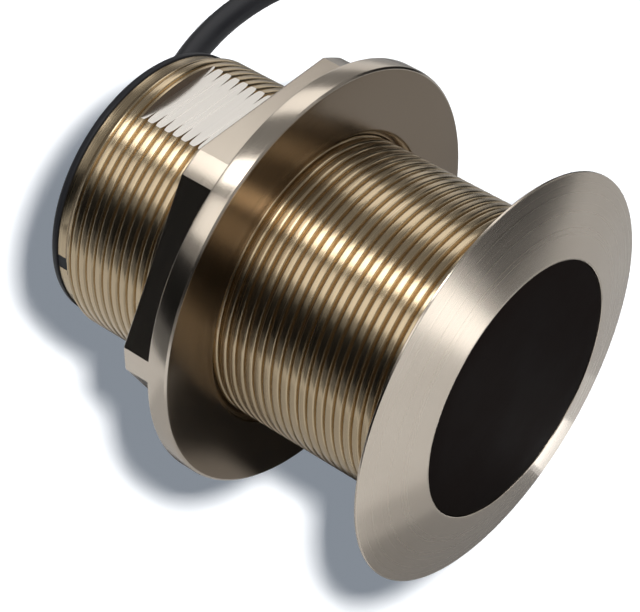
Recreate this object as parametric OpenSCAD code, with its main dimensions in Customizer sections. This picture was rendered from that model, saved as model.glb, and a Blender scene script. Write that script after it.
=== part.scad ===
// Through-hull sonar transducer: a flanged bronze stem with a potted ceramic element, a bronze
// hull nut on its thread, a cap with an angled cable exit, and a coiled cable with a plug.
// It stands on its flat sounding face with the stem upright along +Z. All sizes in millimetres.

/* [Housing] */
// Outside diameter of the threaded stem
stem_d = 50.8; // [48:0.2:56]
// Height of the stem's rear end above the sounding face
stem_len = 76.2; // [74:0.2:90]
// Pitch of the stem's thread, fourteen turns to 25.4 mm
thread_pitch = 1.8143; // [1.5:0.05:3]
// Outside diameter of the head
head_d = 72.4; // [66:0.2:90]
// Height of the head's conical fairing
head_cone_h = 3.4; // [2.8:0.1:5]
// Thickness of the head's rim
head_edge = 0.4; // [0.3:0.1:1.5]
// Flat land between the window and the fairing
face_land = 0.4; // [0.2:0.1:1]
// Width of the relief groove between the head and the thread
relief_w = 1.0; // [0.6:0.1:2]
// Depth of the sealant groove in the head round the stem's foot
seat_groove = 0.4; // [0.2:0.1:0.6]
// Bore of the stem behind the element
stem_bore_d = 36; // [34:0.5:38]
// Depth of each wrench flat below the thread's crest
flat_depth = 1.6; // [1.4:0.1:2.2]
// Height of the wrench flats' lower end
flats_from = 46; // [40:0.5:56]
// Distance from the wrench flats' upper end to the stem's rear end
flats_to_end = 5.2; // [4:0.1:8]
// Width of the keyway in the stem's rear edge
keyway_w = 2.7; // [2:0.1:4]
// Depth of the keyway along the stem
keyway_depth = 2.2; // [1.5:0.1:4]

/* [Element] */
// Diameter of the black window in the sounding face
window_d = 45.5; // [43:0.5:46]
// Thickness of the window
window_t = 3.2; // [2:0.1:3.4]
// Diameter of the cavity that holds the element
cavity_d = 41; // [40:0.2:42]
// Diameter of the ceramic disc
ceramic_d = 36; // [35:0.5:37]
// Thickness of the ceramic disc
ceramic_t = 10; // [6:0.5:12]
// Thickness of the cork behind the ceramic
backing_t = 3.2; // [2:0.1:5]
// Bond line left round pieces that are glued or potted
bond_line = 0.1; // [0.05:0.01:0.2]
// Diameter of the element's two leads
lead_d = 1.2; // [0.8:0.1:1.6]

/* [Electronics] */
// Height of the terminal board above the sounding face
board_z = 42; // [38:0.5:46]
// Thickness of the terminal board
board_t = 1.6; // [1:0.1:2.4]
// Gap between the terminal board and the stem's bore
board_gap = 1.5; // [1:0.1:2]
// Diameter of the transformer's core
core_d = 24; // [20:0.5:25]
// Height of each half of the transformer's core
core_half_h = 7; // [6:0.5:8]
// Wall and floor of the transformer's core
core_wall = 2.4; // [2:0.1:3]
// Diameter of the core's centre post
core_post_d = 9; // [7:0.5:10]
// Wall of the bobbin
bobbin_wall = 0.8; // [0.6:0.1:1.2]
// Height of the solder posts on the board
post_h = 3.4; // [2:0.1:5]
// Diameter of the solder posts
post_d = 1.2; // [1:0.1:1.6]
// Diameter of each of the cable's three cores
core_wire_d = 1.3; // [1:0.1:1.5]

/* [Cap and cable exit] */
// Height of the cap's rim behind the stem
cap_rim_h = 2.4; // [1.8:0.1:4]
// How far the cap's rim stays inside the thread's crest
cap_inset = 0.8; // [0.4:0.1:2]
// Rounding of the cap's rear edge
cap_round = 0.8; // [0.3:0.1:1.2]
// Depth of the cap's spigot in the stem's bore
spigot_h = 5; // [4:0.5:8]
// Radius of the dome that turns the cable
dome_r = 9; // [8:0.5:11]
// Height of the dome's centre over the cap
dome_lift = 1.2; // [1.2:0.1:4]
// Distance of the dome's flat from its centre
dome_flat = 5; // [4.8:0.1:6]
// Lean of the cable exit from the stem's axis
cable_lean = 60; // [40:1:60]
// Length of the strain relief
boot_len = 14; // [12:0.5:24]
// Diameter of the strain relief at its foot
boot_base_d = 8.4; // [8:0.1:8.4]
// Wall of the strain relief at its tip
boot_tip_wall = 0.8; // [0.5:0.1:1]
// Diameter of the cable
cable_d = 5; // [4.4:0.1:5.4]
// Length of the crimped ferrule on the cable's end
ferrule_len = 6; // [4:0.5:8]

/* [Hull nut] */
// Height of the nut's seating face above the sounding face
nut_z = 40.5; // [10:0.5:60]
// Diameter of the nut's flange
nut_flange_d = 75.8; // [72:0.2:84]
// Thickness of the nut's flange
nut_flange_t = 4; // [3:0.1:7]
// Chamfer on the front edge of the flange
nut_edge = 0.7; // [0.3:0.1:1.5]
// Width across the nut's hexagon flats
nut_af = 62; // [60:0.5:64]
// Diameter that trims the hexagon's corners
nut_corner_d = 69; // [66:0.5:70]
// Height of the hexagon
nut_hex_h = 8.2; // [5:0.1:14]
// Countersink at both ends of the nut's bore
nut_countersink = 1.3; // [0.5:0.1:2]
// Running clearance between the nut's bore and the thread
nut_clearance = 0.08; // [0.05:0.01:0.1]

/* [Coil and plug] */
// Turns across the cable's coil
coil_across = 5; // [4:1:6]
// Layers of turns in the cable's coil
coil_up = 10; // [6:1:10]
// Radius of the coil at the middle of its turns
coil_mean_r = 35; // [33:0.5:42]
// Width of the ties that hold the coil
tie_w = 8; // [5:0.5:12]
// Thickness of the ties
tie_t = 1.2; // [0.8:0.1:2]
// Diameter of the plug's moulded body
plug_d = 18.4; // [18.2:0.2:20]
// Length of the plug's body
plug_len = 28; // [24:0.5:36]
// Diameter of the plug's shell
shell_d = 13.4; // [12.6:0.2:13.4]
// Wall of the plug's shell
shell_wall = 0.8; // [0.6:0.1:1.2]
// Length of the plug's shell
shell_len = 16; // [14:0.5:22]
// Length of the relieved neck at the shell's root
neck_len = 1; // [0.6:0.1:2]
// Depth of that neck
neck_depth = 0.3; // [0.1:0.1:0.4]
// Depth of the plug's open socket
socket_depth = 6; // [5:0.5:8]
// Width of the seal in the plug's front face
seal_w = 1; // [0.6:0.1:1]
// Depth of the seal in the plug's front face
seal_t = 1.6; // [1:0.1:2]
// Land between the shell and the seal's groove
seal_land = 0.3; // [0.2:0.1:0.4]

/* [Hidden] */
$fn = 96;
eps = 0.01;
stem_r = stem_d / 2;
head_r = head_d / 2;
window_r = window_d / 2;
cavity_r = cavity_d / 2;
bore_r = stem_bore_d / 2;
cable_r = cable_d / 2;
seat_z = head_cone_h + head_edge;
thread_depth = 0.567 * thread_pitch;
thread_flank = thread_depth * tan(30);
thread_crest = thread_pitch / 8;
root_r = stem_r - thread_depth;
thread_from = seat_z + relief_w;
groove_r = stem_r + seat_groove;
thread_turns = floor((stem_len - relief_w - thread_from) / thread_pitch);
ceramic_z = window_t;
backing_z = ceramic_z + ceramic_t;
cavity_top = backing_z + backing_t;
board_r = bore_r - board_gap;
lead_x = board_r - lead_d;
core_r = core_d / 2;
core_z = board_z - 2 * core_half_h;
winding_gap = 0.1;
core_room_r = core_r - core_wall;
core_room_h = 2 * (core_half_h - core_wall);
core_slot_w = 3;
bobbin_r = core_post_d / 2 + winding_gap;
bobbin_h = core_room_h - 2 * winding_gap;
board_top = board_z + board_t;
core_spread = 0.9;
wire_ring_r = 0.75 * core_wire_d + core_spread;
cap_r = stem_r - cap_inset;
cap_top = stem_len + cap_rim_h;
spigot_z = stem_len - spigot_h;
dome_y = -2;
dome_c = [0, dome_y, cap_top + dome_lift];
lean_dir = [0, sin(cable_lean), cos(cable_lean)];
boot_base = dome_c + dome_flat * lean_dir;
cable_exit = boot_base + boot_len * lean_dir;
tail_past_ferrule = 1.5;
tail_z = spigot_z - ferrule_len - 2 * tail_past_ferrule;
ferrule_z = tail_z + tail_past_ferrule;
ferrule_wall = 1;
nut_r = stem_r + nut_clearance;
hex_z = nut_z + nut_flange_t;
nut_top = hex_z + nut_hex_h;
coil_w = coil_across * cable_d;
coil_h = coil_up * cable_d;
coil_out_r = coil_mean_r + coil_w / 2;
outer_turn_r = coil_out_r - cable_r;
coil_c = [47.5, 118, 0];
coil_in = coil_c + [-outer_turn_r, 0, coil_h - cable_r];
coil_lead = coil_c + [outer_turn_r, 0, cable_r];
plug_r = plug_d / 2;
shell_r = shell_d / 2;
seal_groove_r = shell_r + seal_land;
plug_tail_r = cable_r + 1.5;
plug_tail_len = 10;
lead_len = 44;
lead_shift = 6;
lead_steps = 10;
lead_straight = 0.1;
plug_tail = [coil_lead.x - lead_shift, coil_lead.y - lead_len, plug_r];

// The cable's way from the boot, over in a free arch and down to the coil's top outer turn
route = concat([cable_exit, cable_exit + 7 * lean_dir], [
    [0, 27.5, 95.7], [0, 35, 98], [0.2, 43, 99.2], [0.5, 51.5, 99], [0.9, 59.8, 97], [1.4, 67.4, 93],
    [1.8, 74.3, 87.2], [2.1, 80.4, 80.2], [2.3, 85.9, 72.6], [2.5, 91, 65]],
    [for (back = [[21.9, 10.5], [14.9, 4.7], [7.5, 1.3], [0, 0]]) coil_in + [0, -back[0], back[1]]]);

// The cable's way from the coil's lowest outer turn to the plug, straight at both ends
function ease(t) = t * t * (3 - 2 * t);
function lead_bend(t) = ease(max(0, min(1, (t - lead_straight) / (1 - 2 * lead_straight))));
plug_route = [for (i = [0 : lead_steps]) let (t = i / lead_steps, bend = lead_bend(t))
    coil_lead + [-lead_shift * bend, -lead_len * t, (plug_r - cable_r) * bend]];

// A ring or tube with its lower face at z
module ring(outer, inner, z, h) {
    translate([0, 0, z]) difference() {
        cylinder(r = outer, h = h);
        translate([0, 0, -1]) cylinder(r = inner, h = h + 2);
    }
}

module disc(r, z, h) {
    translate([0, 0, z]) cylinder(r = r, h = h);
}

// Turns +Z into the direction in which the cable leans
module along_exit() {
    translate(dome_c) rotate([-cable_lean, 0, 0]) children();
}

// The cable's end: upright in the stem, then leaning out through the dome
module tail_shape(r, bottom, tip) {
    disc_h = dome_c.z - bottom;
    translate([0, dome_y, bottom]) cylinder(r = r, h = disc_h);
    translate(dome_c) sphere(r = r * 1.02);
    along_exit() cylinder(r = r, h = tip);
}

// Outline of one turn of the thread, from its root at z over the crest to the next root
function thread_turn(z) = [[root_r, z], [stem_r, z + thread_flank],
    [stem_r, z + thread_flank + thread_crest], [root_r, z + 2 * thread_flank + thread_crest]];

// The head, the threaded stem and the stepped bore are one turned section
module housing() {
    turns = [for (i = [0 : thread_turns - 1]) each thread_turn(thread_from + i * thread_pitch)];
    section = concat(
        [[window_r, 0], [window_r + face_land, 0], [head_r, head_cone_h], [head_r, seat_z]],
        [[groove_r, seat_z], [groove_r, seat_z - seat_groove], [root_r, seat_z - seat_groove]],
        turns, [[root_r, stem_len], [bore_r, stem_len]],
        [[bore_r, cavity_top], [cavity_r, cavity_top], [cavity_r, window_t], [window_r, window_t]]);
    flats_h = stem_len - flats_to_end - flats_from;
    color("darkgoldenrod") difference() {
        rotate_extrude() polygon(section);
        for (side = [0, 180]) rotate([0, 0, side])
            translate([stem_r - flat_depth, -stem_r, flats_from]) cube([stem_r, stem_d, flats_h]);
        translate([-keyway_w / 2, -stem_r - 1, stem_len - keyway_depth])
            cube([keyway_w, stem_r, keyway_depth + 1]);
    }
}

module acoustic_window() {
    color("black") disc(window_r - bond_line, 0, window_t);
}

module ceramic_disc() {
    color("wheat") disc(ceramic_d / 2, ceramic_z, ceramic_t);
}

module cork_sleeve() {
    color("peru") ring(cavity_r - bond_line, ceramic_d / 2 + bond_line, ceramic_z, ceramic_t);
}

module cork_backing() {
    color("peru") difference() {
        disc(cavity_r - bond_line, backing_z, backing_t);
        for (side = [-1, 1]) translate([side * lead_x, 0, backing_z - 1])
            cylinder(d = lead_d + 2 * bond_line, h = backing_t + 2);
    }
}

module element_lead(side) {
    translate([side * lead_x, 0, backing_z]) cylinder(d = lead_d, h = board_z - backing_z);
}

module hot_lead() {
    color("red") element_lead(1);
}

module ground_lead() {
    color("dimgray") element_lead(-1);
}

module terminal_board() {
    color("darkgreen") disc(board_r, board_z, board_t);
}

// Places one child for each of the cable's cores, round the cable's own axis
module at_wires() {
    for (turn = [0 : 120 : 240]) translate([0, dome_y, 0]) rotate([0, 0, turn])
        translate([wire_ring_r, 0, 0]) children();
}

module solder_posts() {
    color("silver") at_wires() disc(post_d / 2, board_top, post_h);
}

module conductors() {
    color("crimson") at_wires() disc(core_wire_d / 2, board_top + post_h, tail_z - board_top - post_h);
}

// Half of a pot core: floor, outer wall with two lead slots, and a centre post
module core_half() {
    difference() {
        cylinder(r = core_r, h = core_half_h);
        translate([0, 0, core_wall]) cylinder(r = core_room_r, h = core_half_h);
        translate([-core_slot_w / 2, -core_r - 1, core_wall]) cube([core_slot_w, core_d + 2, core_half_h]);
    }
    cylinder(d = core_post_d, h = core_half_h);
}

module core_lower() {
    color("dimgray") translate([0, 0, core_z]) core_half();
}

module core_upper() {
    color("gray") translate([0, 0, board_z]) rotate([180, 0, 0]) core_half();
}

module bobbin() {
    color("ivory") translate([0, 0, core_z + core_wall]) difference() {
        union() {
            cylinder(r = bobbin_r + bobbin_wall, h = bobbin_h);
            for (z = [0, bobbin_h - bobbin_wall]) translate([0, 0, z])
                cylinder(r = core_room_r - winding_gap, h = bobbin_wall);
        }
        translate([0, 0, -1]) cylinder(r = bobbin_r, h = bobbin_h + 2);
    }
}

module winding() {
    color("chocolate") ring(core_room_r - 4 * winding_gap, bobbin_r + bobbin_wall + winding_gap,
        core_z + core_wall + bobbin_wall, bobbin_h - 2 * bobbin_wall);
}

module cable_tail() {
    color("black") tail_shape(cable_r, tail_z, dome_flat + boot_len);
}

module crimp_ferrule() {
    color("goldenrod") translate([0, dome_y, 0])
        ring(cable_r + bond_line + ferrule_wall, cable_r + bond_line, ferrule_z, ferrule_len);
}

// The resin fills the stem from the cork to the cap, round everything that hangs in it
module potting_fill() {
    color("saddlebrown") difference() {
        disc(bore_r - bond_line, cavity_top, spigot_z - cavity_top);
        disc(board_r + bond_line, board_z, board_t);
        disc(core_r + bond_line, core_z, board_z - core_z + eps);
        for (side = [-1, 1]) translate([side * lead_x, 0, 0])
            disc(lead_d / 2 + bond_line, cavity_top - 1, board_z - cavity_top + 1 + eps);
        wire_room_r = max(post_d, core_wire_d) / 2 + bond_line;
        at_wires() disc(wire_room_r, board_top - eps, tail_z - board_top + 2 * eps);
        translate([0, dome_y, 0]) disc(cable_r + bond_line, tail_z, spigot_z - tail_z + 1);
        translate([0, dome_y, 0]) disc(cable_r + ferrule_wall + 2 * bond_line, ferrule_z, ferrule_len);
    }
}

// Cap with a spigot in the bore, a key in the keyway and a dome that turns the cable
module end_cap() {
    color("black") difference() {
        union() {
            rotate_extrude() polygon([[0, stem_len], [cap_r, stem_len], [cap_r, cap_top - cap_round],
                [cap_r - cap_round, cap_top], [0, cap_top]]);
            disc(bore_r - bond_line, spigot_z, spigot_h + eps);
            intersection() {
                translate(dome_c) sphere(r = dome_r);
                disc(cap_r, cap_top - eps, 2 * dome_r);
                along_exit() disc(2 * dome_r, dome_flat - 3 * dome_r, 3 * dome_r);
            }
            key_w = keyway_w - 2 * bond_line;
            translate([-key_w / 2, -cap_r, stem_len - keyway_depth + bond_line])
                cube([key_w, cap_r - bore_r + 1, keyway_depth]);
        }
        tail_shape(cable_r + bond_line, spigot_z - 1, dome_flat + 1);
    }
}

// Tapered boot with three relief grooves, moulded round the cable
module strain_relief() {
    tip_r = cable_r + bond_line + boot_tip_wall;
    base_r = boot_base_d / 2;
    groove = 0.5;
    step = boot_len / 8;
    taper = function(z) base_r + (tip_r - base_r) * z / boot_len;
    grooves = [for (i = [2, 4, 6]) each [[taper(i * step), i * step], [taper(i * step) - groove, i * step],
        [taper((i + 0.6) * step) - groove, (i + 0.6) * step], [taper((i + 0.6) * step), (i + 0.6) * step]]];
    color("black") along_exit() translate([0, 0, dome_flat]) rotate_extrude()
        polygon(concat([[cable_r + bond_line, 0], [base_r, 0]], grooves,
            [[tip_r, boot_len], [cable_r + bond_line, boot_len]]));
}

// A tube swept along a list of points, with a ring of sides square to the path at each point
module sweep_tube(path, r, sides) {
    last = len(path) - 1;
    unit = function(v) v / norm(v);
    rings = [for (i = [0 : last])
        let (ahead = unit(path[min(i + 1, last)] - path[max(i - 1, 0)]),
            across = unit(cross(ahead, [1, 0, 0])), beside = cross(across, ahead))
        for (k = [0 : sides - 1]) let (turn = 360 * k / sides)
            path[i] + r * (cos(turn) * across + sin(turn) * beside)];
    walls = [for (i = [0 : last - 1], k = [0 : sides - 1])
        [i * sides + k, i * sides + (k + 1) % sides, (i + 1) * sides + (k + 1) % sides, (i + 1) * sides + k]];
    ends = [[for (k = [sides - 1 : -1 : 0]) k], [for (k = [0 : sides - 1]) last * sides + k]];
    polyhedron(rings, concat(walls, ends), convexity = 6);
}

module cable() {
    color("black") sweep_tube(route, cable_r, 10);
}

module plug_lead() {
    color("black") sweep_tube(plug_route, cable_r, 10);
}

// Outline of the coil's bundle, with its corners trimmed
function bundle(inset, trim) = let (a = inset, w = coil_w - inset, h = coil_h - inset)
    [[a + trim, a], [w - trim, a], [w, a + trim], [w, h - trim], [w - trim, h], [a + trim, h], [a, h - trim],
    [a, a + trim]];

module coil_tie(gap) {
    for (side = [-1, 1]) translate(coil_c + [0, side * coil_mean_r, 0]) rotate([90, 0, 90])
        translate([-coil_w / 2, 0, -tie_w / 2 - gap]) linear_extrude(tie_w + 2 * gap) difference() {
            polygon(bundle(-gap, cable_r));
            polygon(bundle(tie_t + gap, cable_r));
        }
}

module cable_coil() {
    color("black") difference() {
        translate(coil_c) rotate_extrude()
            translate([coil_mean_r - coil_w / 2, 0]) polygon(bundle(0, cable_r));
        coil_tie(bond_line);
    }
}

module coil_ties() {
    color("dimgray") coil_tie(0);
}

// The plug lies on the floor and points away from the coil
module at_plug() {
    translate(plug_tail) rotate([90, 0, 0]) children();
}

module plug_body() {
    shoulder = 2;
    grip_from = plug_tail_len + shoulder;
    rib = 0.6;
    ribs = 5;
    pitch = (plug_len - shoulder - grip_from) / ribs;
    grip = [for (i = [0 : ribs - 1]) each [[plug_r, grip_from + i * pitch],
        [plug_r, grip_from + (i + 0.55) * pitch], [plug_r - rib, grip_from + (i + 0.6) * pitch],
        [plug_r - rib, grip_from + (i + 0.95) * pitch]]];
    groove_out_r = seal_groove_r + 2 * bond_line + seal_w;
    color("black") at_plug() rotate_extrude() polygon(concat([[0, 0], [plug_tail_r, 0],
        [plug_r - shoulder, plug_tail_len]], grip, [[plug_r, plug_len - shoulder], [plug_r, plug_len - rib],
        [plug_r - rib, plug_len], [groove_out_r, plug_len], [groove_out_r, plug_len - seal_t],
        [seal_groove_r, plug_len - seal_t], [seal_groove_r, plug_len], [0, plug_len]]));
}

module plug_shell() {
    inner_r = shell_r - shell_wall;
    neck_r = shell_r - neck_depth;
    neck_top = plug_len + neck_len;
    shell_top = plug_len + shell_len;
    color("silver") at_plug() rotate_extrude() polygon([[inner_r, plug_len], [neck_r, plug_len],
        [neck_r, neck_top], [shell_r, neck_top], [shell_r, shell_top], [inner_r, shell_top]]);
}

module plug_insert() {
    color("dimgray") at_plug() disc(shell_r - shell_wall - bond_line, plug_len, shell_len - socket_depth);
}

module plug_pins() {
    pin_r = 0.75;
    pin_ring_r = shell_r / 2;
    color("gold") at_plug() for (turn = [0 : 72 : 288]) rotate([0, 0, turn])
        translate([pin_ring_r, 0, 0]) disc(pin_r, plug_len + shell_len - socket_depth, socket_depth - 1);
}

module plug_seal() {
    inner_r = seal_groove_r + bond_line;
    color("saddlebrown") at_plug() ring(inner_r + seal_w, inner_r, plug_len - seal_t, seal_t);
}

// Round flange with a trimmed hexagon behind it and a plain running bore
module hull_nut() {
    rim_r = nut_flange_d / 2;
    color("goldenrod") difference() {
        union() {
            rotate_extrude() polygon([[0, nut_z], [rim_r - nut_edge, nut_z], [rim_r, nut_z + nut_edge],
                [rim_r, hex_z - nut_edge / 2], [rim_r - nut_edge / 2, hex_z], [0, hex_z]]);
            intersection() {
                translate([0, 0, hex_z - eps]) rotate([0, 0, 30])
                    cylinder(d = nut_af / cos(30), h = nut_hex_h + eps, $fn = 6);
                disc(nut_corner_d / 2, hex_z - eps, nut_hex_h + eps);
            }
        }
        translate([0, 0, nut_z - 1]) cylinder(r = nut_r, h = nut_top - nut_z + 2);
        translate([0, 0, nut_z - eps])
            cylinder(r1 = nut_r + nut_countersink, r2 = nut_r, h = nut_countersink);
        translate([0, 0, nut_top - nut_countersink + eps])
            cylinder(r1 = nut_r, r2 = nut_r + nut_countersink, h = nut_countersink);
    }
}

housing();
acoustic_window();
ceramic_disc();
cork_sleeve();
cork_backing();
hot_lead();
ground_lead();
terminal_board();
solder_posts();
core_lower();
core_upper();
bobbin();
winding();
conductors();
cable_tail();
crimp_ferrule();
potting_fill();
end_cap();
strain_relief();
cable();
cable_coil();
coil_ties();
plug_lead();
plug_body();
plug_shell();
plug_insert();
plug_pins();
plug_seal();
hull_nut();
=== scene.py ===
import math
from functools import partial

import bmesh
import bpy
import numpy as np
from mathutils import Matrix, Vector


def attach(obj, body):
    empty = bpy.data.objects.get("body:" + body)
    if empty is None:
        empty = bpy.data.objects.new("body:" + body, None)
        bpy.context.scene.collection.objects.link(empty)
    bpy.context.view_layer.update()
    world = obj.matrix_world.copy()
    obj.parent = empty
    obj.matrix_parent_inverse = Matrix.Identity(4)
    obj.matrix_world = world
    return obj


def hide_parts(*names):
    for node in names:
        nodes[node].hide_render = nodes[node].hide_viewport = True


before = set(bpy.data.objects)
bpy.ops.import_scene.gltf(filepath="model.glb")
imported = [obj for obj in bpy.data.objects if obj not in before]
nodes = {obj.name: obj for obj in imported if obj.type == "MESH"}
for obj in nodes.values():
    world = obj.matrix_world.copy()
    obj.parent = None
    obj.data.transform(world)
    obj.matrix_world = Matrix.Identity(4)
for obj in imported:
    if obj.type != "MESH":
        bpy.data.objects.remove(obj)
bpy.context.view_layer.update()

# Camera
# The photograph looks at the sounding face from below and to one side, with the stem lying
# almost level on a white table. The part itself stands upright, so the camera is rolled over.
MM = 0.001
camera_place = Vector((286.11, -240.41, -159.03)) * MM
camera_aim = Vector((-2.49, -3.03, 38.02)) * MM
camera_roll = math.radians(-60.33)


def in_scene(name, data):
    """A new object in the scene."""
    made = bpy.data.objects.new(name, data)
    bpy.context.collection.objects.link(made)
    return made


camera = in_scene("camera", bpy.data.cameras.new("camera"))
camera.data.sensor_width = 36
camera.data.lens = 144.38
camera.data.clip_start = 0.01
turn = (camera_aim - camera_place).to_track_quat("-Z", "Y").to_matrix().to_4x4()
camera.matrix_world = Matrix.Translation(camera_place) @ turn @ Matrix.Rotation(camera_roll, 4, "Z")
bpy.context.scene.camera = camera

# Cable
# A round jacketed cable of three cores, 10 m long, moulded into the strain relief at one end and
# into the plug at the other. Only its first bend is in view: the rest is wound into a tied coil.
cable_d = 5.0
coil_centre = np.array([47.5, 118.0])
coil_across, coil_up = 5, 10
outer_turn_r = 45.0
exit_lean, exit_straight = math.radians(60), 7
exit_point = np.array([0, 14.4545, 89.3])
lean = np.array([0, math.sin(exit_lean), math.cos(exit_lean)])
arch = [exit_point, exit_point + exit_straight * lean, (0, 27.5, 95.7), (0, 35, 98), (0.2, 43, 99.2),
        (0.5, 51.5, 99), (0.9, 59.8, 97), (1.4, 67.4, 93), (1.8, 74.3, 87.2), (2.1, 80.4, 80.2),
        (2.3, 85.9, 72.6), (2.5, 91, 65), (2.5, 96.1, 58), (2.5, 103.1, 52.2), (2.5, 110.5, 48.8)]
arch_step = 2.0
lead_len, lead_shift, plug_r = 44.0, 6.0, 9.2
plug_tail = Vector((coil_centre[0] + outer_turn_r - lead_shift, coil_centre[1] - lead_len, plug_r))


def eased_step(t):
    """From 0 to 1, slowly at both ends."""
    t = np.clip(t, 0, 1)
    return t * t * (3 - 2 * t)


def coil_turns():
    """Points of the coil: flat spirals, wound inwards and outwards by turns, from the top down."""
    drop, points_a_turn = 0.5, 48
    strap_near, strap_fade = 0.8, 0.7
    pinch_across, pinch_up = 0.12, 0.054
    mid_column, mid_row = (coil_across - 1) / 2, (coil_up - 1) / 2
    layer_turns = coil_across - 1 + drop
    turns = np.arange(0, coil_up * layer_turns - drop + 1e-9, 1 / points_a_turn)
    layer = np.minimum(np.floor(turns / layer_turns), coil_up - 1)
    spiral = np.minimum(turns - layer * layer_turns, coil_across - 1)
    column = np.where(layer % 2 == 0, spiral, coil_across - 1 - spiral)
    row = layer + eased_step((turns - layer * layer_turns - coil_across + 1) / drop)
    angle = math.pi - 2 * math.pi * turns
    # The two straps pull the bundle in
    pinch = eased_step((strap_near - np.abs(np.cos(angle))) / strap_fade)
    off_middle = (mid_column - column) * (1 - pinch_across * pinch)
    radius = outer_turn_r + cable_d * (off_middle - mid_column)
    height = cable_d * (coil_up / 2 + (mid_row - row) * (1 - pinch_up * pinch))
    return np.stack([coil_centre[0] + radius * np.cos(angle), coil_centre[1] + radius * np.sin(angle),
                     height], 1)


def plug_lead():
    """Points from the coil's lowest outer turn to the plug's tail, in a shallow bend."""
    straight, count = 0.1, 23
    t = np.linspace(0, 1, count)
    bend = eased_step((t - straight) / (1 - 2 * straight))
    return np.stack([coil_centre[0] + outer_turn_r - lead_shift * bend, coil_centre[1] - lead_len * t,
                     cable_d / 2 + (plug_r - cable_d / 2) * bend], 1)


def smoothed(points, step):
    """A smooth line through the points, sampled about every step."""
    points = np.array(points, float)
    ends = np.vstack([2 * points[0] - points[1], points, 2 * points[-1] - points[-2]])
    line = []
    for a, b, c, d in zip(ends, ends[1:], ends[2:], ends[3:]):
        count = max(1, round(float(np.linalg.norm(c - b)) / step))
        for t in np.arange(count) / count:
            square, cube = 2 * a - 5 * b + 4 * c - d, 3 * b - a - 3 * c + d
            line.append(0.5 * (2 * b + (c - a) * t + square * t**2 + cube * t**3))
    return np.array(line + [points[-1]])


winding_line = coil_turns()
arch_line = smoothed(arch + [winding_line[0]], arch_step)
cable_line = np.vstack([arch_line[:-1], winding_line, plug_lead()[1:]])
cable_curve = bpy.data.curves.new("cable_jacket", "CURVE")
cable_curve.dimensions = "3D"
cable_curve.bevel_depth = cable_d / 2 * MM
cable_curve.bevel_resolution = 4
cable_curve.use_fill_caps = True
spline = cable_curve.splines.new("POLY")
spline.points.add(len(cable_line) - 1)
spline.points.foreach_set("co", np.hstack([cable_line * MM, np.ones((len(cable_line), 1))]).ravel())
spline.use_smooth = True
cable = in_scene("cable_jacket", cable_curve)


def node_group(name, family, inputs, outputs):
    """A node group with its input and output nodes. Sockets are (name, kind), inputs with a value."""
    group = bpy.data.node_groups.new(name, family + "NodeTree")
    for label, kind, *value in inputs:
        socket = group.interface.new_socket(label, in_out="INPUT", socket_type="NodeSocket" + kind)
        if value:
            socket.default_value = value[0]
    for label, kind in outputs:
        group.interface.new_socket(label, in_out="OUTPUT", socket_type="NodeSocket" + kind)
    return group, group.nodes.new("NodeGroupInput"), group.nodes.new("NodeGroupOutput")


def plain(node, **values):
    """Sets inputs of a node that are the same all over."""
    for key, value in values.items():
        node.inputs[key.replace("_", " ")].default_value = value


def add(tree, kind, settings=None, links=None, **values):
    """A node in a tree, with its settings, its linked inputs and its plain input values."""
    made = tree.nodes.new(kind)
    for key, value in (settings or {}).items():
        setattr(made, key, value)
    plain(made, **values)
    for key, source in (links or {}).items():
        tree.links.new(source, made.inputs[key])
    return made


def math_node(tree, operation, a, b=0.0, clamp=False):
    """A Math node whose inputs are sockets or numbers."""
    made = tree.nodes.new("ShaderNodeMath")
    made.operation, made.use_clamp = operation, clamp
    for i, value in enumerate((a, b)):
        if isinstance(value, bpy.types.NodeSocket):
            tree.links.new(value, made.inputs[i])
        else:
            made.inputs[i].default_value = value
    return made.outputs[0]


def blend_colours(tree, mask, dark, light):
    """A colour between two, by a mask."""
    made = tree.nodes.new("ShaderNodeMix")
    made.data_type = "RGBA"
    tree.links.new(mask, made.inputs[0])
    for socket, value in ((made.inputs[6], dark), (made.inputs[7], light)):
        if isinstance(value, bpy.types.NodeSocket):
            tree.links.new(value, socket)
        else:
            socket.default_value = (*value, 1)
    return made.outputs[2]


def material(name):
    """A new node material: its tree, its shader and its Object coordinates."""
    made = bpy.data.materials.new(name)
    made.use_nodes = True
    tree = made.node_tree
    place = tree.nodes.new("ShaderNodeTexCoord").outputs["Object"]
    return made, tree, tree.nodes["Principled BSDF"], place


def bumped(tree, shader, height, strength, depth):
    """Raises a shader's surface by a height, over a depth in millimetres."""
    bump = add(tree, "ShaderNodeBump", links={"Height": height}, Strength=strength, Distance=depth * MM)
    tree.links.new(bump.outputs[0], shader.inputs["Normal"])


# The skin of moulded rubber and plastic: a fine matt grain, with broad patches that are a little
# smoother where hands and tools have rubbed it.
rub_change = 0.35
moulded_skin, skin_in, skin_out = node_group(
    "moulded_skin", "Shader",
    [("Vector", "Vector"), ("Grain", "Float", 900.0), ("Roughness", "Float", 0.5)],
    [("Tone", "Float"), ("Roughness", "Float"), ("Height", "Float")])
calc = partial(math_node, moulded_skin)
grain = add(moulded_skin, "ShaderNodeTexNoise", Detail=2.0,
            links={"Vector": skin_in.outputs["Vector"], "Scale": skin_in.outputs["Grain"]})
patch = add(moulded_skin, "ShaderNodeTexNoise", links={"Vector": skin_in.outputs["Vector"]},
            Scale=70.0, Detail=4.0)
rubbed = calc("MULTIPLY", calc("SUBTRACT", patch.outputs[0], 0.5), rub_change)
moulded_skin.links.new(patch.outputs[0], skin_out.inputs["Tone"])
moulded_skin.links.new(grain.outputs[0], skin_out.inputs["Height"])
moulded_skin.links.new(calc("ADD", skin_in.outputs["Roughness"], rubbed, True),
                       skin_out.inputs["Roughness"])


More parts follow.
